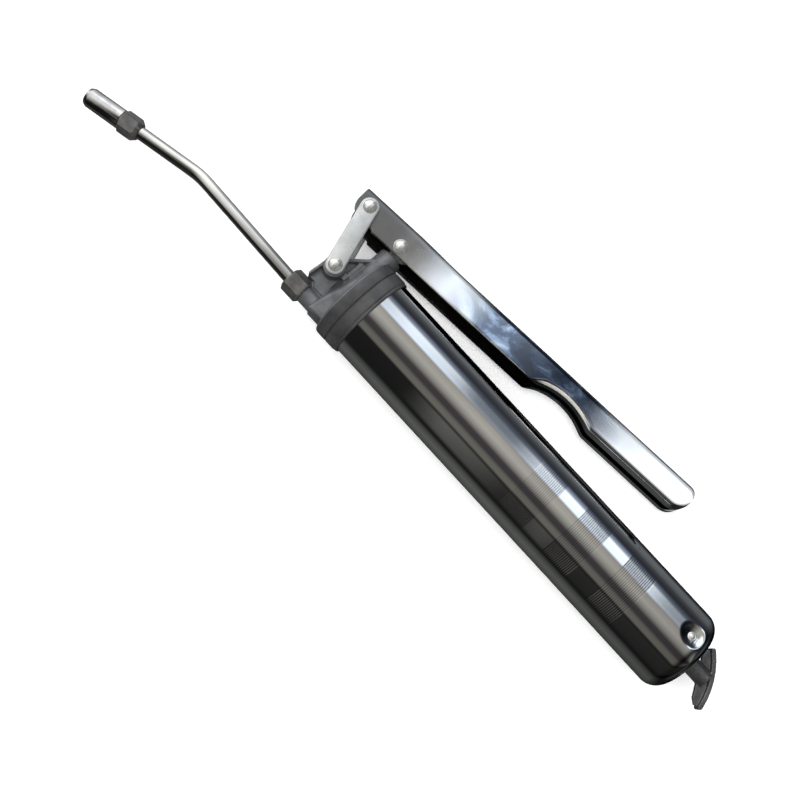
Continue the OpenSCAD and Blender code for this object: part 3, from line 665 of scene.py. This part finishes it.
def rivet(half):
    """A rivet along x whose domed heads sit half from the middle."""
    dome_r = (RIVET_HEAD_R ** 2 + RIVET_DOME ** 2) / (2 * RIVET_DOME)
    spread, steps = math.asin(RIVET_HEAD_R / dome_r), 12
    top = half + RIVET_DOME
    dome = [(top - dome_r + dome_r * math.cos(spread * i / steps), dome_r * math.sin(spread * i / steps))
            for i in range(steps)]
    right = dome + [(half + RIVET_RIM, RIVET_HEAD_R), (half, RIVET_HEAD_R - 0.15), (half, RIVET_R)]
    return lathe(right + [(-x, r) for x, r in reversed(right)], 64)


def make_rivets():
    along_z = Matrix.Rotation(-math.pi / 2, 4, "Y")
    outside = LINK_Z + LINK_T
    for name, pivot, half, body, node in (
            ("head_pin", PIVOT_A, outside + 0.05, "gun", "head_rivet"),
            ("link_pin", PIVOT_B, outside, "links", "link_rivet"),
            ("plunger_pin", PIVOT_C, LEVER_HALF, "lever", "plunger_rivet")):
        solid(name, rivet(half), body, [node], RIVET, Matrix.Translation(pivot) @ along_z)


# ---------- lever ----------


def soft_max(a, b, k):
    h = max(0.0, min(1.0, 0.5 + 0.5 * (a - b) / k))
    return b * (1 - h) + a * h + k * h * (1 - h)


def half_chord(r, off):
    return math.sqrt(max(r * r - off * off, 0))


def step_between(x, start, end):
    t = max(0.0, min(1.0, (x - start) / (end - start)))
    return t * t * (3 - 2 * t)


def lever_low(x):
    """Height of the lever's lower edge at x along it."""
    if x < NOSE.x:
        return NOSE.y - half_chord(NOSE_R, NOSE.x - x)
    if x < WALL_START + 1:
        drop = LEVER_H + NOSE.y - NOSE_R
        return NOSE.y - NOSE_R - drop * step_between(x, WALL_START - 1, WALL_START + 1)
    straight = -LEVER_H + (LEVER_H - GRIP_H) * step_between(x, SCALLOP_X - 10, SCALLOP_X + 10)
    low = straight
    if abs(x - SCALLOP_X) < SCALLOP_R:
        arc = SCALLOP_RISE - LEVER_H - SCALLOP_R + half_chord(SCALLOP_R, x - SCALLOP_X)
        low = soft_max(straight, arc, SCALLOP_SOFT)
    tail = LEVER_LEN - TAIL_LOW_R
    if x > tail:
        low = TAIL_LOW_R - GRIP_H - half_chord(TAIL_LOW_R, x - tail)
    return low


def lever_top(x):
    tail = LEVER_LEN - TAIL_TOP_R
    return 0 if x < tail else half_chord(TAIL_TOP_R, x - tail) - TAIL_TOP_R


def half_section(x, half, top, low, r_top, r_low, tip):
    """One side of the folded sheet at x, from the edge of its lip up to the middle of its back."""
    arc, wall = 6, 8
    pts = [(low, tip), (low, (tip + half - r_low) / 2)]
    pts += [(low + r_low * (1 - math.cos(a)), half - r_low * (1 - math.sin(a)))
            for a in (math.pi / 2 * i / arc for i in range(arc + 1))]
    foot, head = low + r_low, top - r_top
    pts += [(foot + (head - foot) * i / wall, half) for i in range(1, wall)]
    pts += [(head + r_top * math.sin(a), half - r_top * (1 - math.cos(a)))
            for a in (math.pi / 2 * i / arc for i in range(arc + 1))]
    pts += [(top, (half - r_top) * (1 - i / 3)) for i in range(1, 4)]
    return pts


def lean(x, y):
    """How far a wall leans in towards the back at (x, y): not at the pins, most at the grip."""
    lift = max(0.0, 1 + y / LEVER_H)
    amount = LEAN_MIDDLE * step_between(x, 45, 80) + (LEAN_GRIP - LEAN_MIDDLE) * step_between(x, 150, 205)
    curved = 0.4                 # the part of the lean that grows towards the back
    return amount * ((1 - curved) * lift + curved * lift * lift)


def wave(x, y, side):
    """The slight waviness of pressed sheet."""
    spot = Vector((x / WAVE_X, y / WAVE_Y, 3 * side))
    return WAVE_DEPTH * noise.noise(spot) * step_between(x, 40, 90)


def lever_ring(x):
    """Outer and inner lines of the sheet at x."""
    top, low = lever_top(x), lever_low(x)
    start = SCALLOP_X - SCALLOP_HALF
    lip = EDGE_LIP + (GRIP_LIP - EDGE_LIP) * step_between(x, start - 1, start + 5)
    r_low = EDGE_R + (GRIP_BEND - EDGE_R) * step_between(x, start - 2, start + 9)
    room = 0.46 * (top - low)
    r_top, r_low = min(LEVER_BEND, room), min(r_low, room)
    tip = LEVER_HALF - lip
    lines = []
    for inset in (0, LEVER_T):
        half = LEVER_HALF - inset
        radius = [max(r_top - inset, 0.4), min(max(r_low - inset, 0.2), lip - LEVER_T)]
        if not inset:
            radius[1] = r_low
        near = half_section(x, half, top - inset, low + inset, *radius, tip)
        line = [(x, y, z + (wave(x, y, 1) - lean(x, y)) * z / half) for y, z in near]
        line += [(x, y, (wave(x, y, -1) + lean(x, y)) * z / half - z) for y, z in reversed(near[:-1])]
        lines.append(line)
    return lines


def lever_stations():
    nose_steps, step_parts, scallop_step, tail_steps = 16, 8, 0.9, 22
    places = [NOSE.x - (NOSE_R - 0.02) * math.cos(math.pi / 2 * i / nose_steps)
              for i in range(nose_steps + 1)]
    places += [12, 16] + [WALL_START - 1 + 2 / step_parts * i for i in range(step_parts + 1)]
    places += list(range(26, 150, 5))
    places += [150 + scallop_step * i for i in range(66)]
    places += list(range(212, 266, 5))
    places += [LEVER_LEN - TAIL_LOW_R * (1 - math.sin(math.pi / 2 * i / tail_steps))
               for i in range(tail_steps)]
    places += [LEVER_LEN - 0.01]
    return places


LIP_FACES = range(3, 6)      # the bend of the lip, counted along the section from its edge
WALL_FACES = range(7, 18)


def make_lever():
    """The folded sheet, with its lip, inside and walls marked for the material, which paints a highlight on
    the lip and shade on the inside.
    """
    verts, faces, rows, stations = [], [], [], lever_stations()
    for x in stations:
        row = []
        for line in lever_ring(x):
            row.append([len(verts) + k for k in range(len(line))])
            verts += line
        rows.append(row)
    count, lip, inside, wall = len(rows[0][0]), [], [], []
    grip, scallop = SCALLOP_X + SCALLOP_HALF, SCALLOP_X - SCALLOP_HALF
    for x, (out_a, in_a), (out_b, in_b) in zip(stations, rows, rows[1:]):
        # How strongly the painted highlight lies on the lip faces: on both lips along the grip, and on the
        # near lip also from about x 24 to before the scallop.
        grip_lip_highlight = step_between(x, scallop, grip - 42) * (1 - step_between(x, grip - 12, grip))
        lower_edge_highlight = max(grip_lip_highlight, 0.7 * step_between(x, 24, 60) * (1 - step_between(x, grip - 60, grip - 50)))
        for k in range(count - 1):
            faces.append((out_a[k], out_a[k + 1], out_b[k + 1], out_b[k]))
            faces.append((in_a[k], in_b[k], in_b[k + 1], in_a[k + 1]))
            step = min(k, count - 2 - k)
            lip += [(lower_edge_highlight if step == k else grip_lip_highlight) * (step in LIP_FACES), 0.0]
            inside += [0.0, 1.0]
            wall += [float(step in WALL_FACES), 0.0]
    # The near cut edge of the sheet gets the full painted highlight, the far one none.
    for (out_a, in_a), (out_b, in_b) in zip(rows, rows[1:]):
        faces += [(out_a[k], out_b[k], in_b[k], in_a[k]) for k in (0, count - 1)]
        lip += [1.0, 0.0]
    for out, back in (rows[0], rows[-1]):
        faces += [(out[k], out[k + 1], back[k + 1], back[k]) for k in range(count - 1)]
    place = Matrix.Translation(LEVER_FRONT) @ Matrix.Rotation(LEVER_SLOPE, 4, "Z")
    obj = solid("lever_sheet", (verts, faces), "lever", ["lever"], LEVER_CHROME, place, sharp=40)
    for name, values in (("lip", lip), ("inside", inside), ("wall", wall)):
        values += [0.0] * (len(faces) - len(values))
        obj.data.attributes.new(name, "FLOAT", "FACE").data.foreach_set("value", values)


# ---------- stage, light and camera ----------

VIEW_ACROSS = math.radians(3.374)    # the camera's direction from the pins' axis, across and down
VIEW_DOWN = math.radians(14)
VIEW_TURN = math.radians(47.387)     # turn of the picture about the view axis
AIM = Vector((48.56, -21.74, 0))
DISTANCE = 733
LENS = 53.7
SENSOR = 36
FLOOR_M = 6.0


def view_frame():
    back = Vector((math.sin(VIEW_ACROSS), -math.cos(VIEW_ACROSS) * math.sin(VIEW_DOWN),
                   math.cos(VIEW_ACROSS) * math.cos(VIEW_DOWN)))
    along = Vector((1, 0, 0))
    along = (along - along.dot(back) * back).normalized()
    across = back.cross(along)
    right = math.cos(VIEW_TURN) * along + math.sin(VIEW_TURN) * across
    turn = Matrix((right, back.cross(right), back)).transposed().to_4x4()
    return GUN @ Matrix.Translation((AIM + DISTANCE * back) * MM) @ turn


def add_camera():
    data = bpy.data.cameras.new("camera")
    data.lens = LENS
    data.sensor_width = SENSOR
    camera = link_object("camera", data)
    camera.matrix_world = view_frame()
    SCENE.camera = camera


def add_floor():
    mesh = bpy.data.meshes.new("floor")
    corners = [(x * FLOOR_M, y * FLOOR_M, 0) for x, y in ((-1, -1), (1, -1), (1, 1), (-1, 1))]
    mesh.from_pydata(corners, [], [(0, 1, 2, 3)])
    floor = link_object("floor", mesh)
    material, tree, shader, place = new_material("pale_floor")
    tone = ramp(tree, noise_at(tree, place, 3), (0.3, grey(0.86)), (0.7, grey(0.9)))
    tree.links.new(tone, shader.inputs["Base Color"])
    shader.inputs["Roughness"].default_value = 0.9
    shader.inputs["Specular IOR Level"].default_value = 0.1
    shader.inputs["Emission Color"].default_value = (1, 1, 1, 1)
    shader.inputs["Emission Strength"].default_value = 0.3
    mesh.materials.append(material)
    floor.visible_glossy = False


def add_light(name, size_m, power, place_m):
    """A soft light aimed at the middle of the stage, and kept out of the reflections."""
    data = bpy.data.lights.new(name, "AREA")
    data.shape = "RECTANGLE"
    data.size, data.size_y = size_m
    data.energy = power
    light = link_object(name, data)
    light.location = place_m
    light.rotation_euler = (-Vector(place_m)).to_track_quat("-Z", "Y").to_euler()
    light.visible_glossy = False


def studio_world():
    """A dim room round the barrel's axis: a warm wall, two windows above it, and dark ends."""
    world = bpy.data.worlds.new("studio")
    SCENE.world = world
    world.use_nodes = True
    tree = world.node_tree
    out = add_node(tree, "ShaderNodeTexCoord").outputs["Generated"]
    along, up, across = [
        add_node(tree, "ShaderNodeVectorMath", {0: out, 1: tuple(GUN.to_3x3().col[axis])},
                 operation="DOT_PRODUCT").outputs["Value"] for axis in range(3)]
    turn = math_node(tree, "DIVIDE", math_node(tree, "ARCTAN2", up, across), TAU)
    turn = math_node(tree, "FRACT", math_node(tree, "ADD", turn, 0.5 + VIEW_DOWN / TAU))

    def round_ramp(*stops):
        return ramp(tree, turn, *[(a / 360 + 0.5, c) for a, c in stops])

    def along_ramp(*stops):
        values = {"Value": along, "From Min": -1.0, "From Max": 1.0}
        run = add_node(tree, "ShaderNodeMapRange", values).outputs[0]
        return ramp(tree, run, *[(x / 2 + 0.5, grey(v)) for x, v in stops])

    room = round_ramp(
        (-178, grey(0.03)), (-150, (0.06, 0.062, 0.055)), (-120, (0.095, 0.1, 0.095)),
        (-104, (0.06, 0.065, 0.06)), (-92, grey(0.01)), (-38, (0.013, 0.012, 0.012)),
        (-32, (0.14, 0.14, 0.12)), (-22, (0.13, 0.125, 0.11)), (-14, (0.045, 0.042, 0.045)),
        (-3, (0.055, 0.048, 0.05)), (8, (0.27, 0.265, 0.24)), (20, (0.42, 0.41, 0.37)),
        (34, (0.37, 0.35, 0.31)), (41, (0.2, 0.21, 0.23)), (50, (0.08, 0.1, 0.13)),
        (88, (0.03, 0.032, 0.04)), (100, (0.06, 0.065, 0.07)), (112, (0.13, 0.14, 0.145)),
        (128, (0.15, 0.16, 0.17)), (142, (0.05, 0.055, 0.06)), (152, grey(0.006)), (178, grey(0.02)))
    window = round_ramp((37, grey(0)), (43, (0.75, 0.85, 0.97)), (64, (0.9, 0.97, 1.0)),
                        (70, (0.22, 0.26, 0.34)), (82, grey(0)))
    panes = along_ramp((-0.4, 0.9), (-0.14, 0.55), (-0.09, 1.1), (-0.045, 0.75), (-0.02, 0.12),
                       (0.03, 0.1), (0.06, 0.55), (0.085, 1.2), (0.175, 1.2), (0.21, 0.3), (0.3, 0))
    shelf = round_ramp((-88, grey(0)), (-76, (0.07, 0.07, 0.065)), (-44, (0.1, 0.1, 0.09)), (-37, grey(0)))
    shelf_run = along_ramp((-0.06, 0), (-0.02, 1), (0.02, 0.7), (0.06, 0.05), (0.1, 0.7), (0.13, 0.1))
    end_wall = round_ramp((-60, grey(0)), (-28, grey(0.5)), (0, grey(0.9)), (75, grey(1.0)),
                          (100, grey(0.8)), (125, grey(0.1)))
    near_end = along_ramp((-0.95, 0.9), (-0.3, 1.0), (-0.15, 0))
    dimmer = along_ramp((0.1, 1), (0.24, 0.75), (0.42, 0.4), (0.62, 0.08), (0.75, 0.1), (0.9, 0.4),
                        (1, 0.45))

    def combine(kind, a, b):
        values = {"Factor": 1.0, 6: a, 7: b}
        return add_node(tree, "ShaderNodeMix", values, data_type="RGBA", blend_type=kind).outputs[2]

    light = combine("ADD", combine("MULTIPLY", room, dimmer), combine("MULTIPLY", window, panes))
    light = combine("ADD", light, combine("MULTIPLY", shelf, shelf_run))
    light = combine("ADD", light, combine("MULTIPLY", end_wall, near_end))
    tree.links.new(light, tree.nodes["Background"].inputs["Color"])


CAD_LOOKS = {
    RUBBER: ("head_gasket", "plunger_packing", "coupler_seal", "follower_cup"),
    PLATE: ("spring_seat", "follower_front_plate", "follower_back_plate"),
    BRASS: ("gland_ring", "spout_ferrule"), RIVET: ("check_ball", "follower_rod", "plunger"),
    SPRING: ("check_spring", "coupler_spring", "follower_spring"),
    DARK: ("coupler_jaws", "follower_nut", "rod_collar"),
}


def dress_cad_nodes():
    """Materials for the CAD nodes that stay as they are."""
    for material, names in CAD_LOOKS.items():
        for name in names:
            mesh = frame["nodes"][name].data
            mesh.materials.clear()
            mesh.materials.append(material)
            smooth_shade(mesh, 32)


dress_cad_nodes()
make_head()
make_barrel()
make_tail_parts()
make_spout()
make_coupler()
make_links()
make_rivets()
make_lever()
cast_copy("t_handle", "handle_casting", 0.00028, 8, "rod", NICKEL)
add_floor()
studio_world()
add_light("key", (1.8, 1.4), 26, (0.1, 0.2, 1.6))
add_light("fill_left", (1.4, 1.4), 9, (-1.3, -0.8, 0.9))
add_light("fill_right", (1.4, 1.4), 9, (1.3, -0.6, 0.9))
add_camera()
SCENE.view_settings.view_transform = "Standard"
